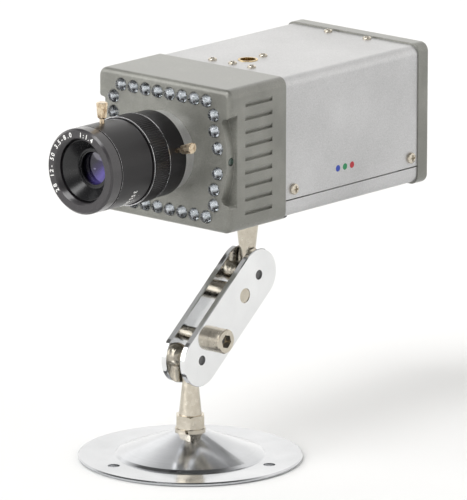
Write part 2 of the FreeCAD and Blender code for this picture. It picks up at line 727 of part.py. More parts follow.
def bnc_shell():
    """Panel socket with a flange, two bayonet lugs and a threaded tail."""
    x, z = BNC_PLACE
    seat = housing(x, PANEL_BACK, z)
    profile = [(3.6, -6.0), (5.5, -6.0), (5.5, 0), (7.2, 0), (7.2, 2.0), (5.6, 2.4)]
    profile += [(4.8, 3.0), (4.8, 11.0), (4.4, 11.5), (4.05, 11.5), (3.6, 10.5)]
    shell = turned(profile, seat, Y)
    lugs = rod(1.0, seat + Y * 8 - X * 5.7, seat + Y * 8 + X * 5.7)
    return shell.fuse(lugs).cut(rod(3.6, seat - Y * 10, seat + Y * 12))


def bnc_nut():
    x, z = BNC_PLACE
    start = housing(x, PANEL_FRONT - 2.4, z)
    nut = hexagon(14.0, start, Y, 2.4)
    return nut.cut(rod(5.5 + SLIP, start - Y, start + Y * 5))


def bnc_insulator():
    x, z = BNC_PLACE
    profile = [(1.15, -7.0), (3.55, -7.0), (3.55, 4.0), (2.4, 4.5), (2.4, 9.5), (1.15, 9.5)]
    return turned(profile, housing(x, PANEL_BACK, z), Y)


def bnc_pin():
    x, z = BNC_PLACE
    profile = [(0, -10.0), (0.8, -10.0), (0.8, -7.0), (1.1, -7.0), (1.1, 9.0)]
    profile += [(0.7, 9.3), (0.7, 6.0), (0, 6.0)]
    return turned(profile, housing(x, PANEL_BACK, z), Y)


def dc_jack():
    """Square power inlet with a round bore for the plug."""
    x, z = DC_PLACE
    body = block(housing(x - 4.5, 110, z - 5.5), housing(x + 4.5, PANEL_BACK + 1.2, z + 5.5))
    body = body.cut(rod(2.85, housing(x, 114, z), housing(x, 130, z)))
    return body.cut(rod(1.0 + SLIP, housing(x, 109, z), housing(x, 130, z)))


def dc_pin():
    x, z = DC_PLACE
    profile = [(0, 107.5), (1.0, 107.5), (1.0, PANEL_BACK - 1.0), (0.6, PANEL_BACK - 0.5)]
    profile.append((0, PANEL_BACK - 0.5))
    return turned(profile, housing(x, 0, z), Y)


def power_led():
    x, z = POWER_LAMP_PLACE
    start = housing(x, PANEL_FRONT, z)
    flange = rod(1.9, start - Y * 1.0, start)
    stem = rod(1.5, start, start + Y * 2.0)
    dome = Part.makeSphere(1.5, start + Y * 2.0)
    return flange.fuse(stem).fuse(dome).removeSplitter()


# ---------------------------------------------------------------- sensor and boards


def cs_mount_ring():
    """Silver lens mount: proud ring on the bezel's face and a sleeve behind it."""
    front = MOUNT_RING_FRONT
    profile = [(12.76, front), (MOUNT_RING_RADIUS - 0.3, front), (MOUNT_RING_RADIUS, front + 0.3)]
    profile += [(MOUNT_RING_RADIUS, 0), (15.5, 0), (15.5, 6.0), (11.3, 6.0), (11.3, 1.0)]
    profile.append((12.76, 1.0))
    return turned(profile, housing(0, 0, 0), Y)


def sensor_holder():
    holder = rounded_bar(32, 32, 2, 6.0, 9.9)
    holder = holder.cut(rod(6.0, housing(0, 5, 0), housing(0, 8, 0)))
    holder = holder.cut(block(housing(-7.1, 6.6, -7.1), housing(7.1, 7.6, 7.1)))
    return holder.cut(rod(10.2, housing(0, 7.6, 0), housing(0, 11, 0)))


def ir_cut_filter():
    return block(housing(-7.0, 6.6, -7.0), housing(7.0, 7.6, 7.0))


def image_sensor():
    package = block(housing(-6, 8.4, -6), housing(6, 9.9, 6))
    window = block(housing(-3.0, 8.4, -2.4), housing(3.0, 8.7, 2.4))
    return package.cut(window)


def sensor_board():
    return rounded_bar(32, 32, 1.5, 9.9, 11.5)


def standoff_places():
    return [(x, depth) for x in (-23.5, 23.5) for depth in (MAIN_BOARD_START + 4, MAIN_BOARD_END - 4)]


def main_board():
    low = housing(-27, MAIN_BOARD_START, MAIN_BOARD_HEIGHT)
    board = block(low, housing(27, MAIN_BOARD_END, MAIN_BOARD_HEIGHT + 1.6))
    for x, depth in standoff_places():
        start = housing(x, depth, -20)
        board = board.cut(rod(1.25 + SLIP, start, start + Z * 20))
    return board


def main_board_parts():
    """Large components on the board: processor, converter, capacitors and sockets."""
    top = MAIN_BOARD_HEIGHT + 1.6
    sizes = [(-10, 66, 18, 18, 2.0), (12, 62, 12, 10, 2.4), (14, 78, 9, 9, 5.0)]
    sizes += [(-17, 88, 10, 6, 3.0), (0, 56, 16, 4, 5.5)]
    parts = []
    for x, depth, width, length, height in sizes:
        low = housing(x - width / 2, depth - length / 2, top)
        parts.append(block(low, low + FreeCAD.Vector(width, length, height)))
    for x, depth in ((2, 96), (12, 96), (22, 90)):
        start = housing(x, depth, top)
        parts.append(rod(4.0, start, start + Z * 11))
    return group(parts)


def board_standoffs():
    """Hexagonal posts from the tray's floor to the main board."""
    floor = SKIN - BODY_HEIGHT / 2
    height = MAIN_BOARD_HEIGHT - floor
    posts = []
    for x, depth in standoff_places():
        start = housing(x, depth, floor)
        post = hexagon(5.0, start, Z, height)
        stub = rod(1.25, start + Z * height, start + Z * (height + 4.5))
        posts.append(post.fuse(stub))
    return group(posts)


# ---------------------------------------------------------------- lens


def ring_profile(outer, front, rear, bevel, bore=RING_BORE_RADIUS):
    """Outline of a plain control ring with bevelled outer edges."""
    profile = [(bore, front), (outer - bevel, front), (outer, front + bevel)]
    return profile + [(outer, rear - bevel), (outer - bevel, rear), (bore, rear)]


def lens_barrel():
    """Fixed inner tube that screws into the mount and carries the rings."""
    profile = [(12.16, BARREL_FRONT), (BARREL_RADIUS, BARREL_FRONT)]
    profile += [(BARREL_RADIUS, MOUNT_RING_FRONT), (12.7, MOUNT_RING_FRONT), (12.7, 0.6)]
    profile += [(10.56, 0.6), (10.56, IRIS_STACK_REAR), (11.26, IRIS_STACK_REAR)]
    profile += [(11.26, IRIS_STACK_FRONT), (12.16, IRIS_STACK_FRONT)]
    return turned(profile, housing(0, 0, 0), Y)


def radial(angle):
    """Direction square to the lens axis, at an angle from +X towards +Z."""
    return FreeCAD.Vector(math.cos(math.radians(angle)), 0, math.sin(math.radians(angle)))


def lock_hole(depth, angle):
    centre = housing(0, depth, 0)
    return rod(LOCK_SHANK_RADIUS + SLIP, centre, centre + radial(angle) * 30)


def zoom_ring():
    rear = MOUNT_RING_FRONT - RING_GAP
    ring = turned(ring_profile(ZOOM_RADIUS, ZOOM_FRONT, rear, 0.4), housing(0, 0, 0), Y)
    return ring.cut(lock_hole(ZOOM_LOCK_DEPTH, ZOOM_LOCK_ANGLE))


def iris_ring():
    """Knurled ring: fine axial teeth between two plain collars."""
    rear = ZOOM_FRONT - RING_GAP
    collar = 0.7
    teeth = 108
    depth = 0.35
    ring = turned(ring_profile(IRIS_RADIUS - 0.1, IRIS_FRONT, rear, 0.3), housing(0, 0, 0), Y)
    knurl_start = housing(0, IRIS_FRONT + collar, 0)
    knurl_length = rear - IRIS_FRONT - 2 * collar
    blank = rod(IRIS_RADIUS + 1, knurl_start, knurl_start + Y * knurl_length)
    teeth_outline = regular_outline([IRIS_RADIUS, IRIS_RADIUS - depth] * teeth, knurl_start, Y)
    toothed = Part.Face(teeth_outline).extrude(Y * knurl_length)
    core = rod(RING_BORE_RADIUS, knurl_start - Y, knurl_start + Y * (knurl_length + 1))
    return ring.cut(blank).fuse(toothed.cut(core)).removeSplitter()


def focus_ring():
    rear = IRIS_FRONT - RING_GAP
    ring = turned(ring_profile(FOCUS_RADIUS, FOCUS_FRONT, rear, 0.3), housing(0, 0, 0), Y)
    seat_start = housing(0, FOCUS_FRONT - 1, 0)
    seat_end = housing(0, SPIGOT_REAR + 0.1, 0)
    ring = ring.cut(rod(SPIGOT_RADIUS + SLIP, seat_start, seat_end))
    return ring.cut(lock_hole(FOCUS_LOCK_DEPTH, FOCUS_LOCK_ANGLE))


def front_ring():
    """Front rim of the focus barrel: lettering face, filter thread and spigot."""
    rear = FOCUS_FRONT - 0.35
    profile = [(FILTER_BORE_RADIUS + 0.5, LENS_FRONT), (16.3, LENS_FRONT)]
    profile.append((FOCUS_RADIUS, LENS_FRONT + 0.8))
    profile += [(FOCUS_RADIUS, rear - 0.25), (FOCUS_RADIUS - 0.25, rear)]
    profile += [(SPIGOT_RADIUS, rear), (SPIGOT_RADIUS, SPIGOT_REAR)]
    profile.append((FILTER_BORE_RADIUS, SPIGOT_REAR))
    pitch = 0.6
    thread_depth = 0.28
    rear_thread = LENS_FRONT + 0.5 + 4 * pitch
    profile.append((FILTER_BORE_RADIUS, rear_thread))
    for index in range(4):
        start = rear_thread - index * pitch
        profile.append((FILTER_BORE_RADIUS + thread_depth, start - pitch / 2))
        profile.append((FILTER_BORE_RADIUS, start - pitch))
    return turned(profile, housing(0, 0, 0), Y)


def front_lens_cell():
    """Sliding cell with the conical hood seen round the front glass."""
    front = LENS_FRONT + 3.2
    rear = FRONT_CELL_REAR
    lip = FRONT_LIP
    profile = [(11.8, front), (FRONT_CELL_RADIUS, front), (FRONT_CELL_RADIUS, rear)]
    profile += [(7.6, rear), (7.6, lip), (6.6, lip), (6.6, lip - 0.6), (7.2, lip - 0.6)]
    profile += [(7.2, lip - 1.0), (8.0, lip - 1.0)]
    return turned(profile, housing(0, 0, 0), Y)


def lens_element(radius, front, rear, front_bulge, rear_bulge):
    """Glass disc with spherical faces that bulge past its rim by the given amounts."""
    centre = housing(0, 0, 0)
    rim_front = centre + X * radius + Y * front
    rim_rear = centre + X * radius + Y * rear
    pole_front = centre + Y * (front - front_bulge)
    pole_rear = centre + Y * (rear + rear_bulge)

    def cap(pole, rim_depth, bulge):
        height = abs(bulge)
        sphere_radius = (radius**2 + height**2) / (2 * height)
        drop = sphere_radius - math.sqrt(sphere_radius**2 - (radius / 2) ** 2)
        depth = pole.y + drop * (1 if rim_depth > pole.y else -1)
        return FreeCAD.Vector(radius / 2, depth, AXIS_Z)

    edges = [Part.Arc(pole_front, cap(pole_front, rim_front.y, front_bulge), rim_front).toShape()]
    edges.append(Part.makeLine(rim_front, rim_rear))
    edges.append(Part.Arc(rim_rear, cap(pole_rear, rim_rear.y, rear_bulge), pole_rear).toShape())
    edges.append(Part.makeLine(pole_rear, pole_front))
    return Part.Face(Part.Wire(edges)).revolve(centre, Y, 360)


def front_lens_glass():
    return lens_element(GLASS_RADIUS, FRONT_LIP + 1.1, FRONT_LIP + 3.8, 1.1, 0.8)


def rear_lens_cell():
    profile = [(6.4, REAR_CELL_FRONT), (REAR_CELL_RADIUS, REAR_CELL_FRONT)]
    profile += [(REAR_CELL_RADIUS, REAR_CELL_REAR), (7.6, REAR_CELL_REAR)]
    profile += [(7.6, REAR_CELL_FRONT + 2.0), (6.4, REAR_CELL_FRONT + 2.0)]
    return turned(profile, housing(0, 0, 0), Y)


def rear_lens_glass():
    return lens_element(GLASS_RADIUS, REAR_CELL_FRONT + 3.1, REAR_CELL_FRONT + 6.0, 1.1, 1.3)


def iris_housing():
    """Shallow cup that the iris blades turn in."""
    floor = IRIS_STACK_REAR - 0.5
    profile = [(7.6, floor), (10.65, floor), (10.65, IRIS_STACK_FRONT + 0.1)]
    profile += [(11.2, IRIS_STACK_FRONT + 0.1), (11.2, IRIS_STACK_REAR), (7.6, IRIS_STACK_REAR)]
    cup = turned(profile, housing(0, 0, 0), Y)
    for index in range(BLADE_COUNT):
        pivot = radial(360.0 * index / BLADE_COUNT) * BLADE_PIVOT_RADIUS
        centre = housing(0, floor, 0) + pivot
        cup = cup.cut(rod(0.45 + SLIP, centre - Y, centre + Y * 2))
    return cup


def iris_blade(index):
    """Crescent blade with its pivot pin: each blade has its own layer."""
    floor = IRIS_STACK_REAR - 0.5
    rear = floor - 0.1 - index * BLADE_PITCH
    start = housing(0, rear - BLADE_THICKNESS, 0)
    ring = turned([(5.2, 0), (8.3, 0), (8.3, BLADE_THICKNESS), (5.2, BLADE_THICKNESS)], start, Y)
    turn = 360.0 * index / BLADE_COUNT
    span = 110.0
    reach = 30.0
    corners = [start - Y]
    for angle in (turn - 8, turn + span / 3, turn + 2 * span / 3, turn + span):
        corners.append(start - Y + radial(angle) * reach)
    sector = Part.Face(Part.makePolygon(corners + [corners[0]])).extrude(Y * 2)
    blade = ring.common(sector)
    pivot = radial(turn) * BLADE_PIVOT_RADIUS
    lobe = rod(1.2, start + pivot, start + pivot + Y * BLADE_THICKNESS)
    arm_width = 1.0
    inner = radial(turn) * 6.5
    across = radial(turn + 90) * arm_width
    arm_corners = [start + inner - across, start + pivot - across]
    arm_corners += [start + pivot + across, start + inner + across]
    arm = Part.Face(Part.makePolygon(arm_corners + [arm_corners[0]]))
    blade = blade.fuse(lobe).fuse(arm.extrude(Y * BLADE_THICKNESS))
    pin_end = housing(0, IRIS_STACK_REAR, 0) + pivot
    return blade.fuse(rod(0.45, start + pivot, pin_end)).removeSplitter()


def lock_screw(ring_radius, depth, angle):
    """Small brass thumbscrew: shank, neck and a tapered knurled head."""
    axis = radial(angle)
    centre = housing(0, depth, 0)
    tip = BARREL_RADIUS + 0.15
    neck_top = ring_radius + 2.0
    head_top = neck_top + 6.5
    shank = rod(LOCK_SHANK_RADIUS, centre + axis * tip, centre + axis * (neck_top + 0.5))
    teeth = 18

    def knurl(radius, distance):
        radii = [radius, radius - 0.22] * teeth
        return regular_outline(radii, centre + axis * distance, axis)

    head = Part.makeLoft([knurl(1.75, neck_top), knurl(2.3, head_top)], True, True)
    taper = [(0, neck_top - 1), (1.2, neck_top - 0.01), (3.0, neck_top + 1.8)]
    taper += [(3.0, head_top - 0.9), (1.9, head_top), (0, head_top)]
    return head.common(turned(taper, centre, axis)).fuse(shank)


# ---------------------------------------------------------------- export


def main():
    os.makedirs("parts", exist_ok=True)
    down = Z * -1
    shapes = {
        "base_plate": base_plate(),
        "base_lock_washer": base_lock_washer(),
        "base_lock_nut": hex_nut(point(0, 0, CONE_TOP_Z + WASHER_HEIGHT), Z),
        "base_under_nut": hex_nut(point(0, 0, CONE_TOP_Z - SHEET - NUT_HEIGHT), Z),
        "lower_ball_stud": ball_stud(LOWER_BALL, down, LOWER_STUD_REACH, 15.5),
        "clamp_plate_right": clamp_plate(1),
        "clamp_plate_left": clamp_plate(-1),
        "spacer_pin": spacer_pin(),
        "clamp_screw": clamp_screw(),
        "upper_ball_stud": ball_stud(UPPER_BALL, Z, UPPER_STUD_REACH, 12.0),
        "upper_lock_nut": hex_nut(point(0, STUD_Y, UPPER_NUT_Z), Z),
        "tripod_block": tripod_block(),
        "tripod_block_screws": tripod_block_screws(),
        "tripod_insert": tripod_insert(),
        "top_insert": top_insert(),
        "top_insert_screws": top_insert_screws(),
        "top_cover": top_cover(),
        "bottom_tray": bottom_tray(),
        "side_screws": screw_set(side_screw_places(), 2.25, 1.3, 1.4, 4.5),
        "top_screws": screw_set(top_screw_places(), 1.75, 0.9, 1.0, 4.0),
        "tray_screws": screw_set(tray_screw_places(), 3.0, 1.6, 1.25, 4.0),
        "front_bezel": front_bezel(),
        "led_board": led_board(),
        "ir_leds": ir_leds(),
        "light_sensor": light_sensor(),
        "rear_bezel": rear_bezel(),
        "rear_panel": rear_panel(),
        "rear_panel_screws": rear_panel_screws(),
        "bnc_shell": bnc_shell(),
        "bnc_nut": bnc_nut(),
        "bnc_insulator": bnc_insulator(),
        "bnc_pin": bnc_pin(),
        "dc_jack": dc_jack(),
        "dc_pin": dc_pin(),
        "power_led": power_led(),
        "cs_mount_ring": cs_mount_ring(),
        "sensor_holder": sensor_holder(),
        "ir_cut_filter": ir_cut_filter(),
        "image_sensor": image_sensor(),
        "sensor_board": sensor_board(),
        "main_board": main_board(),
        "main_board_parts": main_board_parts(),
        "board_standoffs": board_standoffs(),
        "lens_barrel": lens_barrel(),
        "zoom_ring": zoom_ring(),
        "iris_ring": iris_ring(),
        "focus_ring": focus_ring(),
        "front_ring": front_ring(),
        "zoom_lock_screw": lock_screw(ZOOM_RADIUS, ZOOM_LOCK_DEPTH, ZOOM_LOCK_ANGLE),
        "focus_lock_screw": lock_screw(FOCUS_RADIUS, FOCUS_LOCK_DEPTH, FOCUS_LOCK_ANGLE),
        "front_lens_cell": front_lens_cell(),
        "front_lens_glass": front_lens_glass(),
        "rear_lens_cell": rear_lens_cell(),
        "rear_lens_glass": rear_lens_glass(),
        "iris_housing": iris_housing(),
    }
    for index in range(BLADE_COUNT):
        shapes["iris_blade_%d" % (index + 1)] = iris_blade(index)
    for name, shape in shapes.items():
        save(name, shape)
        if not shape.isValid():
            print("not valid:", name)


main()
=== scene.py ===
import json
import math

import bmesh
import bpy
from mathutils import Matrix, Vector


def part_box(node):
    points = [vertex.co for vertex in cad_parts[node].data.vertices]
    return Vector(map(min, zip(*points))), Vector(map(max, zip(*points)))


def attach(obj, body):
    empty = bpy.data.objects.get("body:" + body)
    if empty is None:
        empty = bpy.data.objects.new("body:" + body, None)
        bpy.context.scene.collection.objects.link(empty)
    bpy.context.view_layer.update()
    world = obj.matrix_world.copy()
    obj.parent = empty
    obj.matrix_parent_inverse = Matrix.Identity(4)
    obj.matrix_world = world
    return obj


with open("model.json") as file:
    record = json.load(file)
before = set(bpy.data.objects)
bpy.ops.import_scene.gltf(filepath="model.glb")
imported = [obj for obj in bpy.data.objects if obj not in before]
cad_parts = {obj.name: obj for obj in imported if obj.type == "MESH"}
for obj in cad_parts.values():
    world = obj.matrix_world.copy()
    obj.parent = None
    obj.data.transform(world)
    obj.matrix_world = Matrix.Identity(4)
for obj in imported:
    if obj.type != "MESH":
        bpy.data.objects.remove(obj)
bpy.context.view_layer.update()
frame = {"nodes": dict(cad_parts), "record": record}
NODES = frame["nodes"]
MM = 0.001
OUT = Vector((0, -1, 0))  # the way the lens looks
RIGHT_SIDE = Vector((1, 0, 0))  # the way the cover's printed side faces

# ---------------------------------------------------------------- places read from the frame


def low(node):
    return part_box(node)[0]


def high(node):
    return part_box(node)[1]


def middle(node):
    lowest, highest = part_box(node)
    return (lowest + highest) / 2


AXIS_Z = middle("front_ring").z
FACE_Y = low("front_bezel").y
LENS_FRONT_Y = low("front_ring").y
SIDE_X = high("top_cover").x
FLOOR_Z = low("base_plate").z

# ---------------------------------------------------------------- shader helpers


def fill_ramp(ramp, stops):
    """Sets a new colour ramp's stops: each is (position, (r, g, b))."""
    for index, (position, colour) in enumerate(stops):
        element = ramp.elements[index] if index < 2 else ramp.elements.new(position)
        element.position = position
        element.color = (*colour, 1.0)


class Shader:
    """A material being built: a Principled BSDF with helpers for the nodes that feed it."""

    def __init__(self, name, **constants):
        self.material = bpy.data.materials.new(name)
        self.material.use_nodes = True
        self.tree = self.material.node_tree
        self.tree.nodes.clear()
        output = self.node("OutputMaterial")
        self.bsdf = self.node("BsdfPrincipled", **constants)
        self.link(self.bsdf.outputs["BSDF"], output.inputs["Surface"])
        self.coordinates = self.node("TexCoord").outputs["Object"]

    def node(self, kind, **constants):
        """New node, with constants set on the inputs they are named after."""
        node = self.tree.nodes.new("ShaderNode" + kind)
        for socket, value in constants.items():
            node.inputs[socket.replace("_", " ")].default_value = value
        return node

    def link(self, source, target):
        self.tree.links.new(source, target)

    def scaled(self, x, y, z):
        """Object coordinates stretched along each axis, for grain with a direction."""
        node = self.node("Mapping", Scale=(x, y, z))
        self.link(self.coordinates, node.inputs["Vector"])
        return node.outputs["Vector"]

    def noise(self, scale, detail=3.0, roughness=0.55, vector=None):
        node = self.node("TexNoise", Scale=scale, Detail=detail, Roughness=roughness)
        self.link(vector or self.coordinates, node.inputs["Vector"])
        return node.outputs["Fac"]

    def math(self, operation, *values):
        node = self.node("Math")
        node.operation = operation
        for index, value in enumerate(values):
            if isinstance(value, (int, float)):
                node.inputs[index].default_value = value
            else:
                self.link(value, node.inputs[index])
        return node.outputs["Value"]

    def blend(self, *terms):
        """Weighted sum: each term is (value, weight)."""
        total = None
        for value, weight in terms:
            part = self.math("MULTIPLY", value, weight)
            total = part if total is None else self.math("ADD", total, part)
        return total

    def axis(self, name):
        node = self.node("SeparateXYZ")
        self.link(self.coordinates, node.inputs["Vector"])
        return node.outputs[name]

    def span(self, value, from_low, from_high, to_low, to_high):
        node = self.node("MapRange", From_Min=from_low, From_Max=from_high,
                         To_Min=to_low, To_Max=to_high)
        self.link(value, node.inputs["Value"])
        return node.outputs["Result"]

    def colour(self, value, *stops):
        """Base colour from a value through a ramp: each stop is (position, (r, g, b))."""
        node = self.node("ValToRGB")
        fill_ramp(node.color_ramp, stops)
        self.link(value, node.inputs["Fac"])
        self.link(node.outputs["Color"], self.bsdf.inputs["Base Color"])

    def roughness(self, value, to_low, to_high, from_high=0.7):
        """Roughness that follows a noise value from 0.3 up to from_high."""
        result = self.span(value, 0.3, from_high, to_low, to_high)
        self.link(result, self.bsdf.inputs["Roughness"])

    def bump(self, height, strength, depth):
        """Adds a bump of a depth in millimetres; each call stands on the one before it."""
        node = self.node("Bump", Strength=strength, Distance=depth * MM)
        self.link(height, node.inputs["Height"])
        normal = self.bsdf.inputs["Normal"]
        if normal.links:
            self.link(normal.links[0].from_socket, node.inputs["Normal"])
        self.link(node.outputs["Normal"], normal)

    def round_edges(self, radius):
        """Shades sharp edges as if rounded by a radius in millimetres, to catch the light."""
        node = self.node("Bevel", Radius=radius * MM)
        node.samples = 6
        self.link(node.outputs["Normal"], self.bsdf.inputs["Normal"])


# ---------------------------------------------------------------- materials


def cast_paint():
    """Metallic warm grey paint over a die casting: fine flake and a little orange peel."""
    s = Shader("cast_paint", Metallic=0.45, Specular_IOR_Level=0.5,
               Coat_Weight=0.60, Coat_Roughness=0.30)
    flake = s.noise(5200, 2, 0.7)
    drift = s.noise(45, 3)
    s.colour(s.blend((flake, 0.65), (drift, 0.35)), (0.34, (0.104, 0.105, 0.092)),
             (0.50, (0.172, 0.172, 0.153)), (0.66, (0.320, 0.322, 0.292)))
    s.roughness(drift, 0.38, 0.50)
    s.round_edges(0.7)
    s.bump(s.noise(1500, 2), 0.10, 0.06)
    s.bump(flake, 0.12, 0.02)
    return s.material


def silver_sheet(name="silver_sheet", grain=(300, 420, 300), dark=0.35, light=0.58):
    """Fine bead-blasted silver anodised aluminium, a touch bluer than grey."""
    s = Shader(name, Metallic=0.90, Coat_Weight=0.35, Coat_Roughness=0.35)
    streaks = s.noise(6.0, 4, 0.6, s.scaled(*grain))
    speckle = s.noise(3800, 2, 0.75)
    cloud = s.noise(28, 3)
    stops = [(position, (tone, tone, tone * 1.01)) for position, tone in
             ((0.36, dark), (0.50, (dark + light) / 2), (0.64, light))]
    s.colour(s.blend((streaks, 0.35), (speckle, 0.4), (cloud, 0.25)), *stops)
    s.roughness(speckle, 0.34, 0.48)
    s.bump(speckle, 0.18, 0.03)
    s.bump(streaks, 0.10, 0.03)
    return s.material


def mirror_chrome():
    """Polished chrome plate with faint hairlines and smears."""
    s = Shader("mirror_chrome", Metallic=1.0)
    smear = s.noise(60, 3)
    hair = s.noise(9.0, 3, 0.7, s.scaled(40, 500, 60))
    s.colour(smear, (0.35, (0.76, 0.765, 0.77)), (0.70, (0.84, 0.845, 0.85)))
    s.roughness(smear, 0.06, 0.13, from_high=0.75)
    s.bump(hair, 0.03, 0.02)
    return s.material


def warm_nickel(name="warm_nickel", low_rough=0.16, high_rough=0.30):
    """Bright nickel plate on turned steel, slightly warm."""
    s = Shader(name, Metallic=1.0)
    mottle = s.noise(420, 4, 0.65)
    lines = s.noise(5.0, 3, 0.7, s.scaled(260, 260, 4))
    s.colour(mottle, (0.25, (0.47, 0.425, 0.35)), (0.55, (0.56, 0.515, 0.435)),
             (0.80, (0.64, 0.60, 0.52)))
    s.roughness(mottle, low_rough, high_rough)
    s.bump(lines, 0.16, 0.04)
    return s.material


def satin_base():
    """Satin chrome on a spun steel plate: rings of fine grain round the stud."""
    s = Shader("satin_base", Metallic=1.0, Anisotropic=0.60)
    tangent = s.node("Tangent")
    tangent.direction_type = "RADIAL"
    tangent.axis = "Z"
    s.link(tangent.outputs["Tangent"], s.bsdf.inputs["Tangent"])
    x, y = s.axis("X"), s.axis("Y")
    squares = s.math("ADD", s.math("MULTIPLY", x, x), s.math("MULTIPLY", y, y))
    ring = s.node("CombineXYZ")
    s.link(s.math("SQRT", squares), ring.inputs["X"])
    rings = s.noise(2600, 3, 0.7, ring.outputs["Vector"])
    cloud = s.noise(38, 3)
    s.colour(s.blend((rings, 0.5), (cloud, 0.5)), (0.32, (0.42, 0.43, 0.445)),
             (0.68, (0.60, 0.61, 0.63)))
    s.roughness(rings, 0.09, 0.19)
    s.bump(rings, 0.05, 0.02)
    return s.material


BRASS_STOPS = ((0.30, (0.42, 0.29, 0.12)), (0.55, (0.70, 0.52, 0.25)), (0.75, (0.86, 0.70, 0.42)))
NICKEL_BRASS_STOPS = ((0.30, (0.42, 0.30, 0.19)), (0.55, (0.72, 0.60, 0.44)),
                      (0.75, (0.88, 0.80, 0.66)))


def brass(name, stops):
    """Brass, bare or under thin nickel, with a little tarnish."""
    s = Shader(name, Metallic=1.0)
    tarnish = s.noise(520, 4)
    s.colour(tarnish, *stops)
    s.roughness(tarnish, 0.20, 0.36)
    s.bump(tarnish, 0.10, 0.03)
    return s.material


def black_anodised(name="black_anodised", coat=0.08, painted_sheen_lift=1.0):
    """Satin black anodised aluminium with turning lines round the lens axis. A lift above one
    brightens the base colour as painted sheen.
    """
    s = Shader(name, Metallic=0.10, Specular_IOR_Level=0.34, Coat_Weight=coat, Coat_Roughness=0.18)
    grain = s.noise(2600, 3, 0.7)
    turning = s.noise(4.0, 3, 0.6, s.scaled(30, 1500, 30))
    shades = ((0.30, (0.006, 0.005, 0.006)), (0.60, (0.010, 0.009, 0.010)),
              (0.80, (0.024, 0.022, 0.024)))
    s.colour(grain, *((position, tuple(c * painted_sheen_lift for c in shade)) for position, shade in shades))
    s.roughness(grain, 0.30, 0.44)
    s.bump(grain, 0.10, 0.02)
    s.bump(turning, 0.10, 0.03)
    return s.material


def lens_black():
    """Dark, slightly glossy inside of the lens cells."""
    s = Shader("lens_black", Metallic=0.2, Specular_IOR_Level=0.6)
    grain = s.noise(1600, 3)
    s.colour(grain, (0.30, (0.008, 0.008, 0.009)), (0.75, (0.014, 0.014, 0.015)))
    s.roughness(grain, 0.22, 0.28)
    s.bump(s.noise(3.0, 2, 0.6, s.scaled(2, 1800, 2)), 0.06, 0.02)
    return s.material


def moulded_plastic(name="black_plastic", dark=0.012, light=0.035, rough=0.5):
    """Plain moulded plastic between two greys, with a fine grain."""
    s = Shader(name, Specular_IOR_Level=0.45)
    grain = s.noise(2400, 3, 0.7)
    s.colour(grain, (0.3, (dark,) * 3), (0.75, (light,) * 3))
    s.roughness(grain, rough - 0.08, rough + 0.08)
    s.bump(grain, 0.18, 0.04)
    return s.material


def clear_resin():
    """Clear lamp resin with a faint violet-blue cast and moulding flow."""
    s = Shader("clear_resin", Transmission_Weight=1.0, IOR=1.5, Specular_IOR_Level=0.6)
    flow = s.noise(700, 2)
    s.colour(flow, (0.3, (0.90, 0.92, 0.97)), (0.7, (0.98, 0.985, 1.0)))
    s.roughness(flow, 0.01, 0.05)
    return s.material


def coated_glass():
    """Front glass: dark depth, with the purple-blue coating's sheen painted into the colour as a
    slanting band.
    """
    s = Shader("coated_glass", IOR=1.6, Specular_IOR_Level=0.8, Coat_Weight=0.35,
               Coat_Roughness=0.02, Metallic=0.55, Coat_Tint=(0.75, 0.70, 1.0, 1.0))
    # painted sheen: the coating's purple reflection is painted by position, purple towards low z
    # and high x, near black the other way
    slant = s.math("SUBTRACT", s.axis("Z"), s.math("MULTIPLY", s.axis("X"), 1.1))
    painted_sheen_band = s.span(slant, AXIS_Z - 10.5 * MM, AXIS_Z + 6.0 * MM, 0.0, 1.0)
    cloud = s.noise(240, 2)
    s.colour(s.blend((painted_sheen_band, 0.85), (cloud, 0.15)), (0.05, (0.060, 0.050, 0.160)),
             (0.28, (0.115, 0.090, 0.330)), (0.52, (0.030, 0.022, 0.075)),
             (0.75, (0.004, 0.004, 0.007)))
    s.roughness(cloud, 0.05, 0.12)
    return s.material


def plain_glass(name, tint):
    """Clear glass with a tint and a faint film."""
    s = Shader(name, Transmission_Weight=1.0, IOR=1.52)
    film = s.noise(160, 2)
    s.colour(film, (0.3, tuple(c * 0.92 for c in tint)), (0.7, tint))
    s.roughness(film, 0.01, 0.04)
    return s.material


def photocell():
    """Dark green cell of the light sensor under a clear window."""
    s = Shader("photocell", Specular_IOR_Level=0.7, Coat_Weight=0.8, Coat_Roughness=0.08)
    cloud = s.noise(900, 3)
    s.colour(cloud, (0.35, (0.002, 0.010, 0.007)), (0.70, (0.012, 0.060, 0.040)))
    s.roughness(cloud, 0.18, 0.32)
    s.bump(cloud, 0.2, 0.04)
    return s.material


def circuit_board():
    """Green solder mask with lighter tracks under it."""
    s = Shader("circuit_board", Specular_IOR_Level=0.55)
    tracks = s.noise(160, 4, 0.8, s.scaled(3.0, 1.0, 1.0))
    s.colour(tracks, (0.45, (0.006, 0.060, 0.028)), (0.50, (0.020, 0.150, 0.060)),
             (0.56, (0.008, 0.070, 0.032)))
    s.roughness(tracks, 0.30, 0.42)
    s.bump(tracks, 0.2, 0.03)
    return s.material


def ink(name, colour):
    """Pad-printed ink with slightly uneven cover."""
    s = Shader(name, Specular_IOR_Level=0.4)
    cover = s.noise(2600, 3)
    s.colour(cover, (0.3, tuple(c * 0.82 for c in colour)), (0.7, colour))
    s.roughness(cover, 0.42, 0.58)
    return s.material


def polished_edge():
    """Bare aluminium where a black ring was turned back to bright metal."""
    s = Shader("polished_edge", Metallic=1.0)
    grain = s.noise(1800, 3)
    s.colour(grain, (0.3, (0.42, 0.42, 0.43)), (0.7, (0.80, 0.80, 0.82)))
    s.roughness(grain, 0.12, 0.26)
    return s.material


def lamp_metal():
    """Plated lead frame inside the clear lamps."""
    s = Shader("lamp_metal", Metallic=1.0)
    grain = s.noise(2200, 2)
    s.colour(grain, (0.3, (0.30, 0.33, 0.34)), (0.7, (0.74, 0.77, 0.80)))
    s.roughness(grain, 0.16, 0.36)
    return s.material


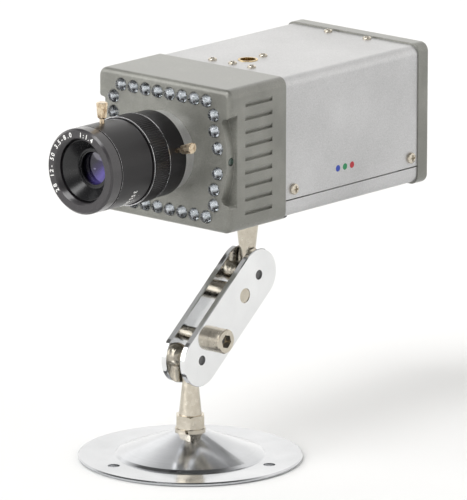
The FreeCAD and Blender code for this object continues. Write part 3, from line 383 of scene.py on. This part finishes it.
def white_floor():
    """Matt white studio paper."""
    s = Shader("white_floor", Specular_IOR_Level=0.15)
    cloud = s.noise(2.0, 2)
    s.colour(cloud, (0.3, (0.86, 0.86, 0.855)), (0.7, (0.88, 0.88, 0.875)))
    s.roughness(cloud, 0.75, 0.85)
    return s.material


# one material for each slot of the record
MATERIALS = {
    "satin_steel": satin_base(),
    "mirror_chrome": mirror_chrome(),
    "warm_nickel": warm_nickel(),
    "screw_nickel": warm_nickel("screw_nickel", 0.20, 0.34),
    "spring_steel": warm_nickel("spring_steel", 0.28, 0.42),
    "brass": brass("brass", BRASS_STOPS),
    "nickel_brass": brass("nickel_brass", NICKEL_BRASS_STOPS),
    "cast_grey": cast_paint(),
    "silver_cover": silver_sheet(),
    "silver_ring": silver_sheet("silver_ring", (30, 1500, 30), 0.50, 0.86),
    "black_anodised": black_anodised(),
    "lens_black": lens_black(),
    "blade_black": moulded_plastic("blade_black", 0.008, 0.02, 0.35),
    "black_plastic": moulded_plastic(),
    "clear_lamp": clear_resin(),
    "photocell": photocell(),
    "coated_glass": coated_glass(),
    "filter_glass": plain_glass("filter_glass", (0.62, 0.90, 0.95)),
    "ceramic_chip": moulded_plastic("ceramic_chip", 0.02, 0.05, 0.3),
    "circuit_board": circuit_board(),
    "components": moulded_plastic("components", 0.015, 0.05, 0.4),
    "white_insulator": moulded_plastic("white_insulator", 0.72, 0.86, 0.4),
    "red_lamp": ink("red_lamp", (0.55, 0.02, 0.02)),
}
MATERIALS["panel_grey"] = MATERIALS["cast_grey"]

# nodes given a material other than their slot's; tray_screws are coloured near-black as painted
# shade under the body
NODE_MATERIALS = {"tray_screws": moulded_plastic("painted_shade_black", 0.010, 0.030, 0.45),
                  # front_ring: black anodised with its base colour lifted 2.6 times as painted
                  # sheen
                  "front_ring": black_anodised("rim_black_painted_sheen", 0.7, 2.6)}


def dress_nodes():
    """Gives each CAD node the material of its slot in the record, or its own."""
    for part in frame["record"]["subparts"]:
        mesh = NODES[part["node"]].data
        mesh.materials.clear()
        mesh.materials.append(NODE_MATERIALS.get(part["node"], MATERIALS[part["material_slot"]]))


# ---------------------------------------------------------------- mesh helpers


def add_piece(name, mesh, material, body):
    """Puts a finished mesh in the scene as a piece that rides on a body."""
    mesh.materials.clear()
    mesh.materials.append(material)
    piece = bpy.data.objects.new(name, mesh)
    bpy.context.scene.collection.objects.link(piece)
    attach(piece, body)
    return piece


def finished_mesh(name, work):
    """Mesh of a filled bmesh, which is used up."""
    bmesh.ops.recalc_face_normals(work, faces=work.faces)
    mesh = bpy.data.meshes.new(name)
    work.to_mesh(mesh)
    work.free()
    return mesh


def turn_outline(work, outline, centre, axis, steps):
    """Adds a closed outline turned round an axis: its points are (radius, distance) in mm."""
    side = Vector((0, 0, 1))
    across = axis.cross(side)
    rings = []
    for step in range(steps):
        angle = 2 * math.pi * step / steps
        out = side * math.cos(angle) + across * math.sin(angle)
        rings.append([work.verts.new(centre + out * (radius * MM) + axis * (distance * MM))
                      for radius, distance in outline])
    count = len(outline)
    for step in range(steps):
        here, there = rings[step], rings[(step + 1) % steps]
        for index in range(count):
            after = (index + 1) % count
            work.faces.new((here[index], here[after], there[after], there[index]))


def turned_mesh(name, outline, places, steps):
    """Mesh of one outline turned at each of the places, which are (centre, axis)."""
    work = bmesh.new()
    for centre, axis in places:
        turn_outline(work, outline, centre, axis, steps)
    return finished_mesh(name, work)


def washer(inner, outer, start, end):
    """Outline of a flat ring between two radii and two distances."""
    return ((inner, start), (outer, start), (outer, end), (inner, end))


SHARP_ANGLE = math.radians(30)


def smooth(mesh):
    """Smooth shading that keeps sharp edges."""
    mesh.shade_smooth()
    mesh.set_sharp_from_angle(angle=SHARP_ANGLE)


# ---------------------------------------------------------------- clear lamps

# (radius, distance out of the bezel's face), mm
LAMP_CUP = ((0.45, -2.6), (1.75, -1.2), (1.95, -1.2), (1.95, -3.0), (0.05, -3.4), (0.05, -2.6))
# chip, bond post and lead: (sideways, up, edge, depth behind the bezel's face), mm
LAMP_CHIPS = ((0, 0, 0.55, 2.35), (1.0, 0.5, 0.5, 1.1), (-0.9, -0.9, 0.35, 1.15))
WELD_DISTANCE = 1e-6


def lamp_centres():
    """Centres (x, z) of the clear lamps, found from the separate islands of the CAD node."""
    work = bmesh.new()
    work.from_mesh(NODES["ir_leds"].data)
    bmesh.ops.remove_doubles(work, verts=work.verts, dist=WELD_DISTANCE)
    waiting = set(work.verts)
    centres = []
    while waiting:
        island = []
        stack = [waiting.pop()]
        while stack:
            vertex = stack.pop()
            island.append(vertex.co.copy())
            for edge in vertex.link_edges:
                other = edge.other_vert(vertex)
                if other in waiting:
                    waiting.discard(other)
                    stack.append(other)
        xs = [co.x for co in island]
        zs = [co.z for co in island]
        centres.append(((min(xs) + max(xs)) / 2, (min(zs) + max(zs)) / 2))
    work.free()
    return sorted(centres)


def add_lamp_insides():
    """Reflector cup, chip, bond post and lead inside each clear lamp."""
    centres = lamp_centres()
    places = [(Vector((x, FACE_Y, z)), OUT) for x, z in centres]
    mesh = turned_mesh("lamp_cups", LAMP_CUP, places, 24)
    smooth(mesh)
    add_piece("lamp_cups", mesh, lamp_metal(), "camera")

    work = bmesh.new()
    for x, z in centres:
        for sideways, up, edge, depth in LAMP_CHIPS:
            place = Vector((x + sideways * MM, FACE_Y + depth * MM, z + up * MM))
            made = bmesh.ops.create_cube(work, size=edge * MM)
            bmesh.ops.translate(work, vec=place, verts=made["verts"])
    add_piece("lamp_chips", finished_mesh("lamp_chips", work),
              ink("lamp_chip", (0.05, 0.05, 0.06)), "camera")


# ---------------------------------------------------------------- lettering

CAPITAL_HEIGHT = 0.7  # of the font's size
INK_THICKNESS = 0.012 * MM
INK_SPREAD = 0.045 * MM
INK_WHITE = (0.86, 0.86, 0.84)

RIM_TEXT_HEIGHT = 1.85 * MM
RIM_TEXT_RADIUS = 13.95
RIM_TEXT_LIFT = 0.01 * MM
# degrees clockwise from the top, seen from the front
RIM_TEXT = ((-128, "2"), (-120, "8"), (-104, "1"), (-97, "2"), (-90, "-"), (-78, "5"), (-71, "0"),
            (-56, "3"), (-51, "."), (-46, "5"), (-39, "-"), (-32, "8"), (-25, "."), (-19, "0"),
            (2, "1"), (8, ":"), (14, "1"), (19, "."), (25, "4"))

SCALE_TEXT_HEIGHT = 2.0 * MM
SCALE_TEXT_SINK = 0.02 * MM
# (mm in front of the bezel's face, first degrees, degrees between, numbers)
SCALE_ROWS = ((34.2, 124, 13, ("3.5", "5.0", "8.0")), (31.4, 121, 10, ("1", "2", "5", "8")))


def glyph_mesh(text, height):
    """Mesh of a short text, centred on its own origin in X, raised a little along Z."""
    curve = bpy.data.curves.new("glyph", "FONT")
    curve.body = text
    curve.size = height / CAPITAL_HEIGHT
    curve.align_x = "CENTER"
    curve.extrude = INK_THICKNESS
    curve.offset = INK_SPREAD
    curve.resolution_u = 3
    holder = bpy.data.objects.new("glyph", curve)
    bpy.context.scene.collection.objects.link(holder)
    evaluated = holder.evaluated_get(bpy.context.evaluated_depsgraph_get())
    mesh = bpy.data.meshes.new_from_object(evaluated)
    bpy.data.objects.remove(holder)
    bpy.data.curves.remove(curve)
    return mesh


def place_glyph(work, text, height, place, right, up):
    """Adds a text's mesh with its foot at place, reading along right."""
    mesh = glyph_mesh(text, height)
    turn = Matrix((right, up, right.cross(up))).transposed().to_4x4()
    mesh.transform(Matrix.Translation(place) @ turn)
    work.from_mesh(mesh)
    bpy.data.meshes.remove(mesh)


def round_lens(degrees):
    """Directions away from the lens axis and along the turn, at an angle from the top."""
    angle = math.radians(degrees)
    away = Vector((math.sin(angle), 0, math.cos(angle)))
    along = Vector((math.cos(angle), 0, -math.sin(angle)))
    return away, along


def add_rim_lettering():
    """White numbers round the lens's front rim."""
    work = bmesh.new()
    centre = Vector((0, LENS_FRONT_Y - RIM_TEXT_LIFT, AXIS_Z))
    for degrees, text in RIM_TEXT:
        up, right = round_lens(degrees)
        place = centre + up * RIM_TEXT_RADIUS * MM
        place_glyph(work, text, RIM_TEXT_HEIGHT, place, right, up)
    add_piece("rim_lettering", finished_mesh("rim_lettering", work), ink("white_ink", INK_WHITE),
              "focus_ring")


def add_scale_lettering():
    """White numbers on the underside of the focus barrel."""
    radius = high("focus_ring").x - SCALE_TEXT_SINK
    work = bmesh.new()
    for depth, first, between, numbers in SCALE_ROWS:
        for index, text in enumerate(numbers):
            normal, along = round_lens(first + index * between)
            place = Vector((0, FACE_Y - depth * MM, AXIS_Z)) + normal * radius
            place_glyph(work, text, SCALE_TEXT_HEIGHT, place, along, -OUT)
    add_piece("scale_lettering", finished_mesh("scale_lettering", work),
              ink("scale_ink", INK_WHITE), "focus_ring")


# ---------------------------------------------------------------- bands, dots and painted shade in recesses

# ring that is also its body's name, start and end behind the ring's front, mm
BRIGHT_BANDS = (("iris_ring", 0.12, 0.34), ("iris_ring", 9.22, 9.44), ("focus_ring", -0.03, 0.05))
BAND_SINK = 0.5
BAND_LIFT = 0.04

# depth behind the bezel's face, mm
DOTS = ((66.0, "blue_dot", (0.018, 0.050, 0.36)), (70.3, "green_dot", (0.012, 0.22, 0.08)),
        (74.6, "red_dot", (0.40, 0.015, 0.025)))
DOT_OUTLINE = ((0.02, 0), (1.35, 0), (1.33, 0.02), (0.02, 0.02))
DOT_SINK = 0.005 * MM
DOT_DROP = 13.5 * MM  # below the lens axis

BALL_RADIUS = 5.0 * MM
# painted shade: dark disc outlines (radius, distance) in mm for the ball seats' holes and the
# socket's bottom
SEAT_PAINTED_SHADE = washer(0.02, 1.92, 5.25, 5.4)
SOCKET_PAINTED_SHADE = washer(0.02, 2.4, 0, 0.1)
SOCKET_DEPTH = 2.98 * MM


def add_bright_bands():
    """Thin bright lines where the black lens rings were turned back to bare metal."""
    for number, (ring, start, end) in enumerate(BRIGHT_BANDS):
        name = "bright_band_%d" % number
        radius = high(ring).x / MM
        front = Vector((0, low(ring).y, AXIS_Z))
        outline = washer(radius - BAND_SINK, radius + BAND_LIFT, start, end)
        mesh = turned_mesh(name, outline, [(front, -OUT)], 160)
        smooth(mesh)
        add_piece(name, mesh, polished_edge(), ring)


def add_dots():
    """Three printed colour dots on the cover's right side."""
    for depth, name, colour in DOTS:
        place = Vector((SIDE_X - DOT_SINK, FACE_Y + depth * MM, AXIS_Z - DOT_DROP))
        mesh = turned_mesh(name, DOT_OUTLINE, [(place, RIGHT_SIDE)], 32)
        add_piece(name, mesh, ink(name, colour), "camera")


def add_painted_shade_discs():
    """Dark discs set in the ball seats' holes and at the bottom of the clamp screw's socket as
    painted shade.
    """
    balls = (("lower_ball_stud", high("lower_ball_stud").z - BALL_RADIUS),
             ("upper_ball_stud", low("upper_ball_stud").z + BALL_RADIUS))
    places = [(Vector((0, middle(stud).y, ball_z)), side)
              for stud, ball_z in balls for side in (-RIGHT_SIDE, RIGHT_SIDE)]
    seats = turned_mesh("seat_painted_shade", SEAT_PAINTED_SHADE, places, 32)

    screw = middle("clamp_screw")
    bottom = Vector((high("clamp_screw").x - SOCKET_DEPTH, screw.y, screw.z))
    # speckled near-black colour as painted shade
    dark = moulded_plastic("painted_shade_recess", 0.020, 0.20, 0.35)
    add_piece("seat_painted_shade", seats, dark, "link")
    socket = turned_mesh("socket_painted_shade", SOCKET_PAINTED_SHADE, [(bottom, RIGHT_SIDE)], 6)
    add_piece("socket_painted_shade", socket, dark, "clamp_screw")


# ---------------------------------------------------------------- stage, lights and camera

FLOOR_SIZE = 6.0
FLOOR_GAP = 0.0002

WORLD_SLOPE = (0.0, -0.35, 1.0)
WORLD_STOPS = ((0.0, 1.0), (0.45, 0.95), (0.66, 0.36), (0.80, 0.10), (1.0, 0.07))
WORLD_TINT = (1.0, 0.99, 0.97)
WORLD_STRENGTH = 1.36

# name, where the light comes from, strength, angular size in degrees
SUNS = (("key", (0.05, -0.66, 1.0), 1.12, 26),
        ("left_front", (-0.6, -1.2, 0.7), 1.95, 60),
        ("right_fill", (1.0, -0.2, 0.8), 0.12, 45),
        ("left_back", (-1.0, 0.45, 1.1), 0.15, 50))

VIEW_AZIMUTH = 41.02
VIEW_ELEVATION = 13.82
VIEW_ROLL = 0.14
VIEW_DISTANCE = 3.15756
VIEW_RIGHT = -0.02757
VIEW_UP = 0.03837
FACE_CENTRE_DROP = 0.00096
FOCAL_LENGTH = 576.0
SENSOR_WIDTH = 36.0
CLIP_START, CLIP_END = 0.05, 50.0


def add_floor():
    """Plain white floor just under the base."""
    work = bmesh.new()
    bmesh.ops.create_grid(work, x_segments=2, y_segments=2, size=FLOOR_SIZE)
    mesh = finished_mesh("floor", work)
    mesh.materials.append(white_floor())
    floor = bpy.data.objects.new("floor", mesh)
    floor.location.z = FLOOR_Z - FLOOR_GAP
    bpy.context.scene.collection.objects.link(floor)


def add_world():
    """White low down and far up the back like a studio sweep, dark overhead."""
    world = bpy.data.worlds.new("studio")
    world.use_nodes = True
    nodes, links = world.node_tree.nodes, world.node_tree.links
    background = nodes["Background"]
    height = nodes.new("ShaderNodeVectorMath")
    height.operation = "DOT_PRODUCT"
    height.inputs[1].default_value = WORLD_SLOPE
    links.new(nodes.new("ShaderNodeTexCoord").outputs["Generated"], height.inputs[0])
    ramp = nodes.new("ShaderNodeValToRGB")
    fill_ramp(ramp.color_ramp, [(position, [value * tint for tint in WORLD_TINT])
                                for position, value in WORLD_STOPS])
    links.new(height.outputs["Value"], ramp.inputs["Fac"])
    links.new(ramp.outputs["Color"], background.inputs["Color"])
    background.inputs["Strength"].default_value = WORLD_STRENGTH
    bpy.context.scene.world = world


def add_lights():
    """Soft even lights, each from its own direction."""
    for name, direction, strength, spread in SUNS:
        light = bpy.data.lights.new(name, "SUN")
        light.energy = strength
        light.angle = math.radians(spread)
        lamp = bpy.data.objects.new(name, light)
        lamp.rotation_euler = Vector(direction).to_track_quat("Z", "Y").to_euler()
        bpy.context.scene.collection.objects.link(lamp)


def add_camera():
    """Long lens aimed so that the bezel's face centre lands where the view needs it."""
    azimuth, elevation, roll = (math.radians(degrees) for degrees in
                                (VIEW_AZIMUTH, VIEW_ELEVATION, VIEW_ROLL))
    back = Vector((math.sin(azimuth) * math.cos(elevation),
                   -math.cos(azimuth) * math.cos(elevation), math.sin(elevation)))
    right = Vector((math.cos(azimuth), math.sin(azimuth), 0.0))
    up = back.cross(right)
    turned_right = right * math.cos(roll) + up * math.sin(roll)
    turned_up = up * math.cos(roll) - right * math.sin(roll)
    data = bpy.data.cameras.new("camera")
    data.lens = FOCAL_LENGTH
    data.sensor_width = SENSOR_WIDTH
    data.clip_start, data.clip_end = CLIP_START, CLIP_END
    camera = bpy.data.objects.new("camera", data)
    face_centre = Vector((0.0, FACE_Y, AXIS_Z - FACE_CENTRE_DROP))
    place = face_centre + back * VIEW_DISTANCE - turned_right * VIEW_RIGHT - turned_up * VIEW_UP
    basis = Matrix((turned_right, turned_up, back)).transposed()
    camera.matrix_world = Matrix.Translation(place) @ basis.to_4x4()
    bpy.context.scene.collection.objects.link(camera)
    bpy.context.scene.camera = camera


# ---------------------------------------------------------------- build

dress_nodes()
add_lamp_insides()
add_rim_lettering()
add_scale_lettering()
add_bright_bands()
add_dots()
add_painted_shade_discs()
add_floor()
add_world()
add_lights()
add_camera()
bpy.context.scene.view_settings.view_transform = "Standard"
